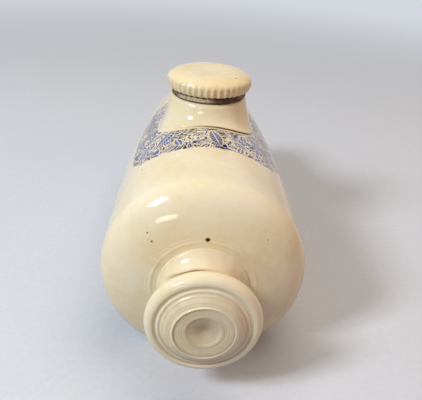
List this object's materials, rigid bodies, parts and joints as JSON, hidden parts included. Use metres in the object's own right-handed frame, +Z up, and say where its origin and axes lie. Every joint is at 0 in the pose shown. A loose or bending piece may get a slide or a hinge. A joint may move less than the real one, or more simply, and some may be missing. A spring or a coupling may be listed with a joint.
{
  "type": "stoneware hot water bottle",
  "caption": "Hollow stoneware hot water bottle lying on its flat side, with a screw stopper and rubber washer in a collar on top and a turned carrying knob at the front end.",
  "frame": {"origin": "on the resting plane, under the axis of the stopper", "axes": "+Y along the body from the knob to the far end, +Z up along the axis of the stopper, +X to the right seen from the knob"},
  "size_m": [0.101, 0.2419, 0.117],
  "materials": {
    "body_glaze": "glossy cream glaze with a printed blue border round the collar",
    "collar_glaze": "glossy cream glaze",
    "knob_glaze": "thin, satin cream glaze over turning rings",
    "stopper_glaze": "satin cream glaze, bare on the thread",
    "washer_rubber": "perished brown rubber"
  },
  "bodies": {
    "bottle": {"bottle_body": "body_glaze", "neck_collar": "collar_glaze", "carrying_knob": "knob_glaze"},
    "washer": {"sealing_washer": "washer_rubber"},
    "stopper": {"screw_stopper": "stopper_glaze"}
  },
  "joints": [
    {"name": "stopper_rise", "type": "slide", "parent": "bottle", "child": "washer", "axis": [0, 0, 1], "range_m": [0, 0.024]},
    {"name": "stopper_turn", "type": "hinge", "parent": "washer", "child": "stopper", "pos_m": [0, 0, 0.103], "axis": [0, 0, 1], "range_deg": [0, 1440]}
  ],
  "couplings": [
    {"joint": "stopper_rise", "follows": "stopper_turn", "m_per_rad": 0.00095493}
  ]
}
